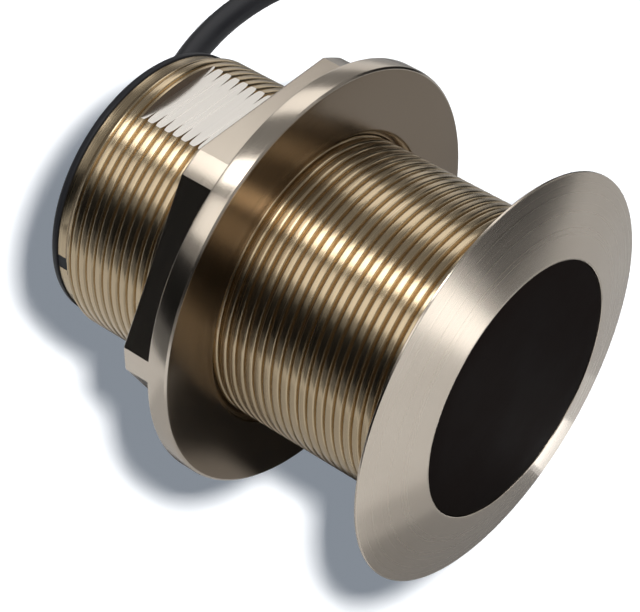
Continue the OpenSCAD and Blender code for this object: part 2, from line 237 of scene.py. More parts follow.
def moulded(name, dark, light, roughness, grain_scale, grain_depth):
    """A moulded rubber or plastic finish."""
    made, tree, shader, place = material(name)
    skin = tree.nodes.new("ShaderNodeGroup")
    skin.node_tree = moulded_skin
    tree.links.new(place, skin.inputs["Vector"])
    plain(skin, Grain=grain_scale, Roughness=roughness)
    colour = blend_colours(tree, skin.outputs["Tone"], dark, light)
    tree.links.new(colour, shader.inputs["Base Color"])
    tree.links.new(skin.outputs["Roughness"], shader.inputs["Roughness"])
    bumped(tree, shader, skin.outputs["Height"], 0.35, grain_depth)
    return made


def dress(finish, *names):
    """Gives CAD nodes that stay in view their finish."""
    for name in names:
        nodes[name].data.materials[0] = finish


jacket_black = moulded("jacket_black", (0.006, 0.006, 0.007), (0.014, 0.014, 0.016), 0.42, 1400, 0.04)
cable_curve.materials.append(jacket_black)
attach(cable, "transducer")
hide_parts("cable", "cable_coil", "plug_lead")
dress(jacket_black, "cable_tail")

# Housing
# Head and stem are one bronze casting, turned all over: a shallow cone round the face, a thin rim,
# a rolled thread of fourteen turns to the inch, a lip at the stem's end, two milled wrench flats
# and a keyway.
sides = 144
thread_pitch, thread_turns = 1.8143, 41
crest_r, root_r = 25.4, 24.371
thread_from, thread_to = 4.8, 75.2
head_r, rim_z, seat_z, groove = 36.2, 3.4, 3.8, 0.4
window_r, window_back, window_rim = 22.75, 3.2, 0.4
cavity_r, cavity_top, bore_r, stem_top = 20.5, 16.4, 18.0, 76.2
lip_r, lip_top = 23.9, 77.0
stem_zone_r = 26.5


def eased(corners, steps=3):
    """An outline whose corners, given as (r, z, ease), are rounded off by their ease."""
    points = [np.array(c[:2], float) for c in corners]
    line = []
    for i, corner in enumerate(corners):
        here, before, after = points[i], points[i - 1], points[(i + 1) % len(points)]
        if len(corner) < 3:
            line.append(here)
            continue
        start, end = before - here, after - here
        start, end = start / np.linalg.norm(start), end / np.linalg.norm(end)
        for s in np.linspace(0, 1, steps + 1):
            line.append(here + corner[2] * ((1 - s) ** 2 * start + s**2 * end))
    return line


def finished(name, shape):
    """A mesh made from a shape, whose faces all look outwards."""
    bmesh.ops.recalc_face_normals(shape, faces=shape.faces)
    mesh = bpy.data.meshes.new(name)
    shape.to_mesh(mesh)
    shape.free()
    return mesh


def skinned(name, shape, rings, closed):
    """A mesh whose rings of vertices are joined in order, and the last to the first if closed."""
    pairs = list(zip(rings, rings[1:])) + ([(rings[-1], rings[0])] if closed else [])
    for a, b in pairs:
        for k in range(len(a)):
            j = (k + 1) % len(a)
            corners = list(dict.fromkeys((a[k], a[j], b[j], b[k])))
            if len(corners) > 2:
                shape.faces.new(corners)
    return finished(name, shape)


def turned(name, outline, around=sides, closed=True):
    """A mesh turned from an outline of (r, z) points, which may touch the axis at its ends."""
    shape = bmesh.new()
    angles = [2 * math.pi * k / around for k in range(around)]
    rings = []
    for r, z in outline:
        if r < 1e-6:
            rings.append([shape.verts.new((0, 0, z * MM))] * around)
        else:
            rings.append([shape.verts.new((r * MM * math.cos(a), r * MM * math.sin(a), z * MM))
                          for a in angles])
    return skinned(name, shape, rings, closed)


def piece(name, mesh, finish, sharp):
    """An object of the part, smooth but for edges sharper than the angle in degrees."""
    made = in_scene(name, mesh)
    mesh.materials.clear()
    mesh.materials.append(finish)
    mesh.shade_smooth()
    mesh.set_sharp_from_angle(angle=math.radians(sharp))
    return made


def evaluated(made):
    """The object's mesh with its modifiers in it, which are then removed."""
    depsgraph = bpy.context.evaluated_depsgraph_get()
    mesh = bpy.data.meshes.new_from_object(made.evaluated_get(depsgraph))
    made.modifiers.clear()
    made.data = mesh
    return mesh


# Tool marks of a lathe: fine rings that follow the radius on a face and the height on a stem,
# and a slow drift of tone over the casting.
lathe_marks, lathe_in, lathe_out = node_group(
    "lathe_marks", "Shader", [("Vector", "Vector"), ("Rings", "Float", 2500.0)],
    [("Rings", "Float"), ("Drift", "Float"), ("Radius", "Float"), ("Height", "Float")])
calc = partial(math_node, lathe_marks)
split = add(lathe_marks, "ShaderNodeSeparateXYZ", links={0: lathe_in.outputs["Vector"]})
radius = calc("SQRT", calc("ADD", calc("MULTIPLY", split.outputs[0], split.outputs[0]),
                           calc("MULTIPLY", split.outputs[1], split.outputs[1])))
tool_path = calc("MULTIPLY", calc("ADD", radius, split.outputs[2]), lathe_in.outputs["Rings"])
rings = add(lathe_marks, "ShaderNodeTexNoise", {"noise_dimensions": "1D"}, {"W": tool_path},
            Scale=1.0, Detail=3.0)
drift = add(lathe_marks, "ShaderNodeTexNoise", links={"Vector": lathe_in.outputs["Vector"]},
            Scale=45.0, Detail=4.0)
for label, source in (("Rings", rings.outputs[0]), ("Drift", drift.outputs[0]),
                      ("Radius", radius), ("Height", split.outputs[2])):
    lathe_marks.links.new(source, lathe_out.inputs[label])


def bronze(name, dark, light, rough, spread, anisotropic, zone=None):
    """Turned bronze: a metal whose gloss is drawn out across the tool marks. A zone within a radius
    and between two heights may have a colour of its own."""
    made, tree, shader, place = material(name)
    calc = partial(math_node, tree)
    marks = tree.nodes.new("ShaderNodeGroup")
    marks.node_tree = lathe_marks
    tree.links.new(place, marks.inputs["Vector"])
    tone = calc("ADD", calc("MULTIPLY", marks.outputs["Drift"], 0.8),
                calc("MULTIPLY", marks.outputs["Rings"], 0.2))
    colour = blend_colours(tree, tone, dark, light)
    if zone:
        own, within, bottom, top = zone
        inside = calc("LESS_THAN", marks.outputs["Radius"], within * MM)
        above = calc("GREATER_THAN", marks.outputs["Height"], bottom * MM)
        below = calc("LESS_THAN", marks.outputs["Height"], top * MM)
        in_zone = calc("MULTIPLY", calc("MULTIPLY", inside, above), below)
        colour = blend_colours(tree, in_zone, colour, own)
    tree.links.new(colour, shader.inputs["Base Color"])
    tree.links.new(calc("ADD", calc("MULTIPLY", marks.outputs["Rings"], spread), rough),
                   shader.inputs["Roughness"])
    plain(shader, Metallic=1.0, Anisotropic=anisotropic, Anisotropic_Rotation=0.25)
    tangent = add(tree, "ShaderNodeTangent", {"direction_type": "RADIAL", "axis": "Z"})
    tree.links.new(tangent.outputs[0], shader.inputs["Tangent"])
    bumped(tree, shader, marks.outputs["Rings"], 0.15, 0.01)
    return made


def dressed_output(tree, geometry, finish, end):
    """Ends a Geometry Nodes tree: its instances are made real and get their finish."""
    whole = add(tree, "GeometryNodeRealizeInstances", links={"Geometry": geometry})
    dressed = add(tree, "GeometryNodeSetMaterial", links={"Geometry": whole.outputs[0], "Material": finish})
    tree.links.new(dressed.outputs[0], end.inputs[0])
    tree.is_modifier = True
    return tree


def thread_tree():
    """Geometry Nodes that wind a sheet into a screw thread: rows follow the thread round the stem,
    and its depth fades out at both ends."""
    tree, start, end = node_group("rolled_thread", "Geometry", [
        ("Root Radius", "Float"), ("Depth", "Float"), ("Pitch", "Float"), ("From", "Float"), ("To", "Float"),
        ("Fade", "Float"), ("Roundness", "Float"), ("Turns", "Int"), ("Sides", "Int"),
        ("Finish", "Material")], [("Geometry", "Geometry")])
    size, calc, rows_a_turn = start.outputs, partial(math_node, tree), 10.0
    rows = calc("ADD", calc("MULTIPLY", size["Turns"], rows_a_turn), 1.0)
    columns = calc("ADD", size["Sides"], 1.0)
    sheet = add(tree, "GeometryNodeMeshGrid", links={"Vertices X": columns, "Vertices Y": rows},
                Size_X=1.0, Size_Y=1.0)
    at = add(tree, "ShaderNodeSeparateXYZ", links={
        0: tree.nodes.new("GeometryNodeInputPosition").outputs[0]})
    around = calc("ADD", at.outputs[0], 0.5)
    along = calc("MULTIPLY", calc("ADD", at.outputs[1], 0.5), size["Turns"])
    # The turn's outline: a broad rounded crest between narrow roots
    within_turn = calc("FRACT", calc("ADD", along, 1e-5))
    off_crest = calc("ABSOLUTE", calc("SUBTRACT", calc("MULTIPLY", within_turn, 2.0), 1.0))
    rise = calc("SUBTRACT", 1.0, calc("POWER", off_crest, size["Roundness"]))
    wound = calc("ADD", size["From"], calc(
        "MULTIPLY", size["Pitch"], calc("ADD", calc("SUBTRACT", along, 1.0), around)))
    height = calc("MINIMUM", calc("MAXIMUM", wound, size["From"]), size["To"])
    to_end = calc("MINIMUM", calc("SUBTRACT", height, size["From"]), calc("SUBTRACT", size["To"], height))
    fade = calc("DIVIDE", to_end, size["Fade"], True)
    radius = calc("ADD", size["Root Radius"], calc("MULTIPLY", calc("MULTIPLY", size["Depth"], rise), fade))
    angle = calc("MULTIPLY", around, 2 * math.pi)
    place = add(tree, "ShaderNodeCombineXYZ", links={
        0: calc("MULTIPLY", radius, calc("COSINE", angle)),
        1: calc("MULTIPLY", radius, calc("SINE", angle)), 2: height})
    moved = add(tree, "GeometryNodeSetPosition", links={
        "Geometry": sheet.outputs["Mesh"], "Position": place.outputs[0]})
    welded = add(tree, "GeometryNodeMergeByDistance", links={"Geometry": moved.outputs[0]},
                 Distance=0.005 * MM)
    return dressed_output(tree, welded.outputs[0], size["Finish"], end)


def with_tree(name, tree, values):
    """A new object whose mesh a node tree makes from the named values."""
    made = in_scene(name, bpy.data.meshes.new(name))
    modifier = made.modifiers.new(name, "NODES")
    modifier.node_group = tree
    for item in tree.interface.items_tree:
        if item.in_out == "INPUT" and item.name in values:
            modifier[item.identifier] = values[item.name]
    evaluated(made)
    return made


def block(name, low, high):
    """A plain block between two corners, to cut with or to join."""
    made = in_scene(name, bpy.data.meshes.new(name))
    shape = bmesh.new()
    bmesh.ops.create_cube(shape, size=1.0)
    low, high = Vector(low) * MM, Vector(high) * MM
    for vert in shape.verts:
        vert.co = Vector(low[i] + (vert.co[i] + 0.5) * (high[i] - low[i]) for i in range(3))
    shape.to_mesh(made.data)
    shape.free()
    return made


def combined(made, others, operation, finish):
    """Cuts other shapes from a piece of one finish, or joins them to it, and removes them."""
    for other in others:
        modifier = made.modifiers.new("combine", "BOOLEAN")
        modifier.operation, modifier.solver, modifier.object = operation, "MANIFOLD", other
    mesh = evaluated(made)
    for other in others:
        bpy.data.objects.remove(other)
    mesh.materials.clear()
    mesh.materials.append(finish)
    mesh.polygons.foreach_set("material_index", np.zeros(len(mesh.polygons), np.int32))
    mesh.shade_smooth()
    return mesh


housing_bronze = bronze("housing_bronze", (0.62, 0.53, 0.43), (0.84, 0.75, 0.64), 0.19, 0.12, 0.75,
                        ((0.62, 0.49, 0.32), stem_zone_r, seat_z, lip_top))
housing = with_tree("housing_casting", thread_tree(), {
    "Root Radius": root_r * MM, "Depth": (crest_r - root_r) * MM, "Pitch": thread_pitch * MM,
    "From": thread_from * MM, "To": thread_to * MM, "Fade": 1.4 * MM, "Roundness": 6.0,
    "Turns": thread_turns, "Sides": sides, "Finish": housing_bronze})
casting = turned("housing_casting", eased([
    (root_r, thread_from), (root_r, seat_z - groove, 0.15), (crest_r + groove, seat_z - groove, 0.1),
    (crest_r + groove, seat_z, 0.1), (head_r, seat_z, 0.12), (head_r, rim_z, 0.12),
    (window_r + window_rim, 0, 0.2), (window_r, 0, 0.08), (window_r, window_back), (cavity_r, window_back),
    (cavity_r, cavity_top), (bore_r, cavity_top), (bore_r, stem_top, 0.3), (lip_r, stem_top),
    (lip_r, lip_top), (root_r, lip_top, 0.25), (root_r, thread_to)]), closed=False)
joined = bmesh.new()
joined.from_mesh(housing.data)
joined.from_mesh(casting)
bmesh.ops.remove_doubles(joined, verts=joined.verts, dist=0.004 * MM)
bmesh.ops.recalc_face_normals(joined, faces=joined.faces)
joined.to_mesh(housing.data)
joined.free()
flat_x, flat_from, flat_to = 23.8, 46.0, 71.0
keyway_half, keyway_z, keyway_top = 1.35, 74, 80
cutter_x, cutter_y = 40, 30
combined(housing, [
    block("flat_px", (flat_x, -cutter_y, flat_from), (cutter_x, cutter_y, flat_to)),
    block("flat_nx", (-cutter_x, -cutter_y, flat_from), (-flat_x, cutter_y, flat_to)),
    block("keyway", (-keyway_half, -cutter_y, keyway_z), (keyway_half, 0, keyway_top))],
    "DIFFERENCE", housing_bronze)
housing.data.set_sharp_from_angle(angle=math.radians(62))
# The flats are milled, with straight marks across the stem and crisp edges. The shoulder at their
# rear end is painted a dull dark brown: painted shade.
milled_bronze, tree, shader, place = material("milled_bronze")
calc = partial(math_node, tree)
stretched = add(tree, "ShaderNodeMapping", links={"Vector": place}, Scale=(400, 60, 2600))
strokes = add(tree, "ShaderNodeTexNoise", links={"Vector": stretched.outputs[0]}, Scale=1.0, Detail=3.0)
# The milled colour is paler and whiter than the turned bronze: the milling is real, the extra paleness a
# painted highlight
milled = blend_colours(tree, strokes.outputs[0], (0.72, 0.67, 0.61), (0.88, 0.84, 0.78))
tree.links.new(milled, shader.inputs["Base Color"])
tree.links.new(calc("ADD", calc("MULTIPLY", strokes.outputs[0], 0.2), 0.2), shader.inputs["Roughness"])
plain(shader, Metallic=1.0)
painted_shade_shoulder = moulded("painted_shade_shoulder", (0.035, 0.022, 0.013), (0.075, 0.05, 0.03), 0.5, 900, 0.05)
for finish in (milled_bronze, painted_shade_shoulder):
    housing.data.materials.append(finish)
in_milled, in_shoulder, square, flush = 1, 2, 1e-4, 1e-5
sharp_edges = housing.data.attributes["sharp_edge"].data
edge_of = {tuple(sorted(edge.vertices)): edge.index for edge in housing.data.edges}
for face in housing.data.polygons:
    if abs(abs(face.normal.x) - 1) < square and abs(abs(face.center.x) - flat_x * MM) < flush:
        face.material_index = in_milled
        for key in face.edge_keys:
            sharp_edges[edge_of[tuple(sorted(key))]].value = True
    elif abs(face.normal.z) > 0.999 and abs(face.center.z - flat_to * MM) < flush:
        face.material_index = in_shoulder
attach(housing, "transducer")
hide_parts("housing")

# Hull nut
# A bronze nut that clamps the hull against the head: a turned round flange, and behind it a
# milled hexagon whose corners are turned off. Its bore is countersunk at both ends.
nut_z, flange_t, hex_h, sink = 40.5, 4.0, 8.2, 1.3
flange_r, across_flats, corner_r, nut_bore_r = 37.9, 62.0, 34.5, 25.48
corner_turn, nut_step = math.degrees(math.acos(across_flats / 2 / corner_r)), 2.5
nut_angles = sorted({round(a, 6) for a in [*np.arange(0, 360, nut_step)] + [
    (60 * side + s * corner_turn) % 360 for side in range(6) for s in (-1, 1)]})


def nut_mesh():
    """The nut's outline carried round, with the hexagon's rows kept to its flats."""
    hex_z, top_z, steps = nut_z + flange_t, nut_z + flange_t + hex_h, 3
    flange = eased([(nut_bore_r, nut_z + sink, 0.2), (nut_bore_r + sink, nut_z, 0.2), (flange_r, nut_z, 0.9),
                    (flange_r, hex_z, 0.5), (corner_r, hex_z, 0.25)], steps)
    hexagon = eased([(flange_r, hex_z), (corner_r, hex_z, 0.25), (corner_r, top_z, 0.5),
                     (nut_bore_r + sink, top_z, 0.3), (nut_bore_r, top_z - sink, 0.2),
                     (nut_bore_r, nut_z + sink)], steps)
    # The flange's last corner and the hexagon's two ends only guide the corners beside them
    rows = [(r, z, False) for r, z in flange[:-steps - 1]]
    rows += [(r, z, r > corner_r - 1) for r, z in hexagon[1:-1]]
    shape = bmesh.new()
    loops = []
    for r, z, on_hexagon in rows:
        loop = []
        for a in nut_angles:
            off, turn = math.radians((a + 30) % 60 - 30), math.radians(a)
            reach = min(across_flats / 2 / math.cos(off), corner_r) + r - corner_r if on_hexagon else r
            loop.append(shape.verts.new((reach * math.cos(turn) * MM, reach * math.sin(turn) * MM, z * MM)))
        loops.append(loop)
    return skinned("hull_nut_turned", shape, loops, True)


# The flange's front face, turned towards the head, has a dark brown zone colour: painted shade
nut_bronze = bronze("nut_bronze", (0.62, 0.53, 0.43), (0.84, 0.75, 0.64), 0.16, 0.12, 0.7,
                    ((0.31, 0.245, 0.18), flange_r - 0.5, nut_z - 1, nut_z + 0.3))
nut = piece("hull_nut_turned", nut_mesh(), nut_bronze, 24)
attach(nut, "nut")
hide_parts("hull_nut")

# Acoustic window
# A disc of black urethane cast into the face over the element. It lies level with the face and
# shrinks a little at its edge.
cast_r, level_r = 22.65, 19
window_black = moulded("window_black", (0.004, 0.0028, 0.0024), (0.009, 0.006, 0.005), 0.6, 700, 0.05)
plain(window_black.node_tree.nodes["Principled BSDF"], Specular_IOR_Level=0.02)
window = piece("acoustic_window_cast", turned("acoustic_window_cast", eased(
    [(0, 0.05), (level_r, 0.04), (cast_r, 0.12, 0.25), (cast_r, window_back), (0, window_back)]),
    closed=False), window_black, 35)
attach(window, "transducer")
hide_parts("acoustic_window")

# Element
# A disc of piezo ceramic with a fired silver coat on both faces, in a sleeve and on a backing of
# cork that keeps its sound from going sideways and back. Two leads carry its signal.
element_from, element_to, coat_t = 3.2, 13.2, 0.1
element_middle, element_half = (element_from + element_to) / 2, (element_to - element_from) / 2
ceramic, tree, shader, place = material("ceramic_silvered")
calc = partial(math_node, tree)
speck = add(tree, "ShaderNodeTexNoise", links={"Vector": place}, Scale=2500.0, Detail=3.0)
height = add(tree, "ShaderNodeSeparateXYZ", links={0: place}).outputs[2]
coated = calc("GREATER_THAN", calc("ABSOLUTE", calc("SUBTRACT", height, element_middle * MM)),
              (element_half - coat_t) * MM)
fired = blend_colours(tree, speck.outputs[0], (0.66, 0.58, 0.42), (0.84, 0.78, 0.64))
tree.links.new(blend_colours(tree, coated, fired, (0.80, 0.79, 0.76)), shader.inputs["Base Color"])
tree.links.new(coated, shader.inputs["Metallic"])
plain(shader, Roughness=0.45)
dress(ceramic, "ceramic_disc")

cork, tree, shader, place = material("pressed_cork")
grains = add(tree, "ShaderNodeTexVoronoi", links={"Vector": place}, Scale=900.0)
pores = add(tree, "ShaderNodeTexNoise", links={"Vector": place}, Scale=1500.0, Detail=4.0)
tone = math_node(tree, "MULTIPLY", grains.outputs["Color"], pores.outputs[0])
pressed = blend_colours(tree, tone, (0.16, 0.08, 0.035), (0.62, 0.42, 0.23))
tree.links.new(pressed, shader.inputs["Base Color"])
plain(shader, Roughness=0.9)
bumped(tree, shader, grains.outputs["Distance"], 0.5, 0.1)
dress(cork, "cork_sleeve", "cork_backing")

dress(moulded("red_wire", (0.42, 0.012, 0.012), (0.58, 0.03, 0.025), 0.35, 600, 0.02),
      "hot_lead", "conductors")
dress(moulded("grey_wire", (0.16, 0.16, 0.165), (0.24, 0.24, 0.25), 0.35, 600, 0.02), "ground_lead")

# Matching transformer
# A ferrite pot core of two halves round a wound bobbin, under a round terminal board whose tinned
# posts take the cable's cores. The cable's jacket is held by a crimped brass ferrule.
dress(moulded("sintered_ferrite", (0.05, 0.05, 0.053), (0.11, 0.11, 0.115), 0.6, 1800, 0.06),
      "core_lower", "core_upper")
dress(moulded("bobbin_nylon", (0.66, 0.63, 0.54), (0.78, 0.75, 0.66), 0.45, 900, 0.03), "bobbin")
dress(moulded("board_green", (0.015, 0.10, 0.035), (0.03, 0.17, 0.06), 0.35, 1200, 0.03), "terminal_board")
dress(bronze("tinned_posts", (0.62, 0.62, 0.60), (0.80, 0.80, 0.78), 0.2, 0.2, 0.2), "solder_posts")
dress(bronze("brass_ferrule", (0.62, 0.45, 0.18), (0.80, 0.62, 0.30), 0.2, 0.2, 0.4), "crimp_ferrule")

wire_d = 0.35
copper, tree, shader, place = material("enamelled_copper")
calc = partial(math_node, tree)
height = add(tree, "ShaderNodeSeparateXYZ", links={0: place}).outputs[2]
turns = calc("ABSOLUTE", calc("SINE", calc("MULTIPLY", height, math.pi / (wire_d * MM))))
# The wire's colour darkens in the creases between the turns: painted shade
enamel_shaded_between_turns = blend_colours(tree, turns, (0.16, 0.045, 0.015), (0.62, 0.24, 0.09))
tree.links.new(enamel_shaded_between_turns, shader.inputs["Base Color"])
plain(shader, Metallic=0.8, Roughness=0.3)
bumped(tree, shader, turns, 0.6, 0.15)
dress(copper, "winding")

# Potting
# Brown epoxy resin, poured round the transformer and the leads until it stands at the cap.
dress(moulded("potting_resin", (0.06, 0.028, 0.012), (0.14, 0.07, 0.03), 0.25, 300, 0.05), "potting_fill")

# End cap
# A black moulded cap, glued into the stem's bore. Its rounded rim rests on the stem's lip, and its
# key sits in the keyway. An off-centre dome on it turns the cable to one side.
cap_r, cap_top, spigot_r, spigot_z = 24.6, 78.6, 17.9, 71.2
foot_r = lip_r - 0.05
dome_r, dome_centre, dome_flat = 9.0, np.array([0, -2.0, 79.8]), 5.0
dome_foot = [(9.0, -0.2), (9.3, -0.7), (9.9, -1.05), (10.8, -1.25), (10.8, -2.0), (0, -2.0)]
dome_sides, sliver = 96, 0.01
key_low, key_high = (-1.25, -24.3, 74.1), (1.25, -17, 77.6)
cap_black = moulded("cap_black", (0.006, 0.006, 0.007), (0.013, 0.013, 0.015), 0.45, 900, 0.05)
plain(cap_black.node_tree.nodes["Principled BSDF"], Specular_IOR_Level=0.25)
cap = piece("end_cap_moulded", turned("end_cap_moulded", eased([
    (0, spigot_z), (spigot_r, spigot_z, 0.4), (spigot_r, stem_top), (foot_r, stem_top), (foot_r, lip_top),
    (cap_r, lip_top, 0.2), (cap_r, cap_top, 1.2), (0, cap_top)], 5), closed=False), cap_black, 40)
dome_line = [(0, dome_r)] + [(dome_r * math.sin(a), dome_r * math.cos(a))
                             for a in np.radians(np.arange(5, 90, 5))]
dome = turned("cap_dome", dome_line + dome_foot, dome_sides, False)
dome.transform(Matrix.Translation(Vector(dome_centre) * MM))
cable_face = Vector(dome_centre + dome_flat * lean) * MM
trimmed = bmesh.new()
trimmed.from_mesh(dome)
cut = bmesh.ops.bisect_plane(
    trimmed, geom=trimmed.verts[:] + trimmed.edges[:] + trimmed.faces[:], plane_co=cable_face,
    plane_no=Vector(lean), clear_outer=True)
rim = [edge for edge in cut["geom_cut"] if isinstance(edge, bmesh.types.BMEdge)]
bmesh.ops.contextual_create(trimmed, geom=rim)
bmesh.ops.bevel(trimmed, geom=rim, offset=0.5 * MM, segments=3, profile=0.5, affect="EDGES")
bmesh.ops.recalc_face_normals(trimmed, faces=trimmed.faces)
trimmed.to_mesh(dome)
trimmed.free()
combined(cap, [piece("cap_dome", dome, cap_black, 40), block("cap_key", key_low, key_high)],
         "UNION", cap_black)
# Slivers that the joining leaves are closed
cleaned = bmesh.new()
cleaned.from_mesh(cap.data)
bmesh.ops.remove_doubles(cleaned, verts=cleaned.verts, dist=sliver * MM)
bmesh.ops.dissolve_degenerate(cleaned, edges=cleaned.edges, dist=sliver * MM)
cleaned.to_mesh(cap.data)
cleaned.free()
cap.data.set_sharp_from_angle(angle=math.radians(40))
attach(cap, "transducer")
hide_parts("end_cap")

# Strain relief
# A short black rubber boot, moulded round the cable where it leaves the dome, with three grooves
# that let it bend.
boot_len, boot_base_r, boot_tip_r, boot_sides = 14.0, 4.2, 3.4, 64
boot_hole_r, groove_depth, boot_parts = cable_d / 2 + 0.05, 0.5, 8


def boot_line():
    """The boot's outline along the cable."""
    line = [(boot_hole_r, 0), (boot_base_r, 0)]
    for i in (2, 4, 6):
        for part, depth in ((0, 0), (0.15, groove_depth), (0.45, groove_depth), (0.6, 0)):
            along = (i + part) * boot_len / boot_parts
            line.append((boot_base_r + (boot_tip_r - boot_base_r) * along / boot_len - depth, along, 0.12))
    return eased(line + [(boot_tip_r, boot_len, 0.35), (boot_hole_r, boot_len, 0.1)], 2)


boot_rubber = moulded("boot_rubber", (0.006, 0.006, 0.006), (0.013, 0.013, 0.014), 0.55, 1000, 0.05)
boot_mesh = turned("strain_relief_boot", boot_line(), boot_sides)
boot_mesh.transform(Matrix.Translation(cable_face) @ Matrix.Rotation(-exit_lean, 4, "X"))
boot = piece("strain_relief_boot", boot_mesh, boot_rubber, 40)
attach(boot, "transducer")
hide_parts("strain_relief")

# Coil ties
# Two straps of black woven tape that hold the coil. Each goes once round the bundle and is closed
# on itself by an overlapping end.
strap_w, strap_t, strap_edge, strap_corner = 8.0, 1.2, 0.3, 3.7
bundle_w, bundle_h, bundle_r = 25.0, 50.0, 35.0
tab_w, tab_t, tab_len, tab_out, tab_drop = strap_w - 0.6, 1.0, 20, 0.4, 2
warp_pitch, weft_pitch = 0.5, 0.6


def strap_loop(out, around=6):
    """The strap's line round the bundle, at a distance inside its outer face."""
    half_w, half_h, corner = bundle_w / 2 - out, bundle_h / 2 - out, strap_corner - out
    line = []
    for cy, cz, start in ((1, 1, 0), (-1, 1, 90), (-1, -1, 180), (1, -1, 270)):
        for a in np.radians(np.linspace(start, start + 90, around + 1)):
            line.append((cy * (half_w - corner) + corner * math.cos(a),
                         cz * (half_h - corner) + corner * math.sin(a)))
    return np.array(line)


def strap_mesh():
    """Both straps, with UV in millimetres along and across the tape."""
    shape = bmesh.new()
    uv = shape.loops.layers.uv.new("UVMap")
    half = strap_w / 2
    section = eased([(x, y, strap_edge) for x, y in (
        (-half, strap_t), (half, strap_t), (half, 0), (-half, 0))], 2)
    loops = [strap_loop(float(depth)) for across, depth in section]
    count = len(loops[0])
    for side in (-1, 1):
        middle = np.array([coil_centre[0], coil_centre[1] + side * bundle_r, bundle_h / 2])
        tape = [[shape.verts.new(Vector(middle + (across, *loop[k])) * MM)
                 for (across, depth), loop in zip(section, loops)] for k in range(count)]
        run = 0.0
        for k in range(count):
            here, there = tape[k], tape[(k + 1) % count]
            step = float(np.linalg.norm(loops[0][(k + 1) % count] - loops[0][k]))
            for i in range(len(section)):
                j = (i + 1) % len(section)
                near, far = section[i][0], section[j][0]
                face = shape.faces.new((here[i], there[i], there[j], here[j]))
                for loop, u, v in zip(face.loops, (run, run + step, run + step, run), (near, near, far, far)):
                    loop[uv].uv = (u, v)
            run += step
        # The overlapping end lies on the side towards the middle of the coil
        inner = middle[1] - side * (bundle_w / 2 + tab_out)
        tab = bmesh.ops.create_cube(shape, size=1.0)["verts"]
        for vert in tab:
            vert.co = Vector((middle[0] + vert.co.x * tab_w, inner + vert.co.y * tab_t,
                              bundle_h / 2 - tab_drop + vert.co.z * tab_len)) * MM
        for face in {face for vert in tab for face in vert.link_faces}:
            for loop in face.loops:
                loop[uv].uv = (loop.vert.co.z / MM, loop.vert.co.x / MM - middle[0])
        edges = list(dict.fromkeys(edge for vert in tab for edge in vert.link_edges))
        bmesh.ops.bevel(shape, geom=edges, offset=0.25 * MM, segments=2, profile=0.5, affect="EDGES")
    # The bevel's own order changes from run to run, so vertices and faces are put in order of place
    for elements, place_of in ((shape.verts, lambda vert: vert.co),
                               (shape.faces, lambda face: face.calc_center_median())):
        places = {one: tuple(round(c, 8) for c in place_of(one)) for one in elements}
        rank = {one: i for i, one in enumerate(sorted(places, key=places.get))}
        elements.sort(key=rank.get)
    return finished("coil_straps", shape)


woven_tape, tree, shader, place = material("woven_tape")
calc = partial(math_node, tree)
tape_uv = add(tree, "ShaderNodeSeparateXYZ", links={0: tree.nodes.new("ShaderNodeTexCoord").outputs["UV"]})
warp = calc("SINE", calc("MULTIPLY", tape_uv.outputs[1], 2 * math.pi / warp_pitch))
weft = calc("SINE", calc("MULTIPLY", tape_uv.outputs[0], 2 * math.pi / weft_pitch))
weave = calc("ADD", calc("MULTIPLY", calc("MULTIPLY", warp, weft), 0.5), 0.5)
threads = blend_colours(tree, weave, (0.008, 0.008, 0.009), (0.035, 0.035, 0.038))
tree.links.new(threads, shader.inputs["Base Color"])
plain(shader, Roughness=0.85)
bumped(tree, shader, weave, 0.6, 0.12)
straps = piece("coil_straps", strap_mesh(), woven_tape, 50)
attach(straps, "transducer")
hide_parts("coil_ties")

# Plug
# A round plug moulded on the cable's end: a ribbed black body, a nickel-plated shell with a relieved
# neck, a grey insert with five brass pins, and a brown rubber seal sunk in the body's front face.
plug_len, shell_r, shell_len, insert_len, pin_r, pin_len = 28.0, 6.7, 16.0, 10.0, 0.75, 5.0
rib_from, rib_pitch, rib_depth, rib_to = 12, 2.8, 0.6, 26
shell_bore_r, neck_r, neck_to, insert_r = 5.9, shell_r - 0.3, 29, 5.8
seal_z, seat_in, seat_out, seal_in, seal_out = 26.4, 7.0, 8.2, 7.1, 8.1
shell_end, insert_end = plug_len + shell_len, plug_len + insert_len
plug_place = Matrix.Translation(plug_tail * MM) @ Matrix.Rotation(math.radians(90), 4, "X")
rib_line = [(plug_r - depth, rib_from + (i + part) * rib_pitch, 0.15) for i in range(5) for depth, part in (
    (0, 0), (0, 0.55), (rib_depth, 0.6), (rib_depth, 0.95))]
plug_lines = {
    "plug_body_moulded": [(0, 0), (4, 0, 0.4), (plug_r - 2, 10, 1.0)] + rib_line + [
        (plug_r, rib_to, 0.3), (plug_r, plug_len, 0.6), (seat_out, plug_len, 0.1), (seat_out, seal_z),
        (seat_in, seal_z), (seat_in, plug_len, 0.1), (0, plug_len)],
    "plug_shell_turned": [
        (shell_bore_r, plug_len), (neck_r, plug_len), (neck_r, neck_to, 0.1), (shell_r, neck_to, 0.12),
        (shell_r, shell_end, 0.25), (shell_bore_r, shell_end, 0.2)],
    "plug_insert_moulded": [
        (0, plug_len), (insert_r, plug_len), (insert_r, insert_end, 0.3), (0, insert_end)],
    "plug_seal_ring": [(seal_in, seal_z, 0.2), (seal_out, seal_z, 0.2), (seal_out, plug_len, 0.4),
                       (seal_in, plug_len, 0.4)]}
plug_finishes = {
    "plug_body_moulded": moulded("plug_rubber", (0.012, 0.012, 0.013), (0.024, 0.024, 0.026), 0.5, 900, 0.06),
    "plug_shell_turned": bronze("nickel_shell", (0.56, 0.55, 0.53), (0.74, 0.73, 0.71), 0.2, 0.15, 0.5),
    "plug_insert_moulded": moulded("insert_grey", (0.09, 0.09, 0.095), (0.15, 0.15, 0.155), 0.5, 900, 0.03),
    "plug_seal_ring": moulded("seal_rubber", (0.20, 0.065, 0.03), (0.32, 0.11, 0.055), 0.5, 900, 0.03)}
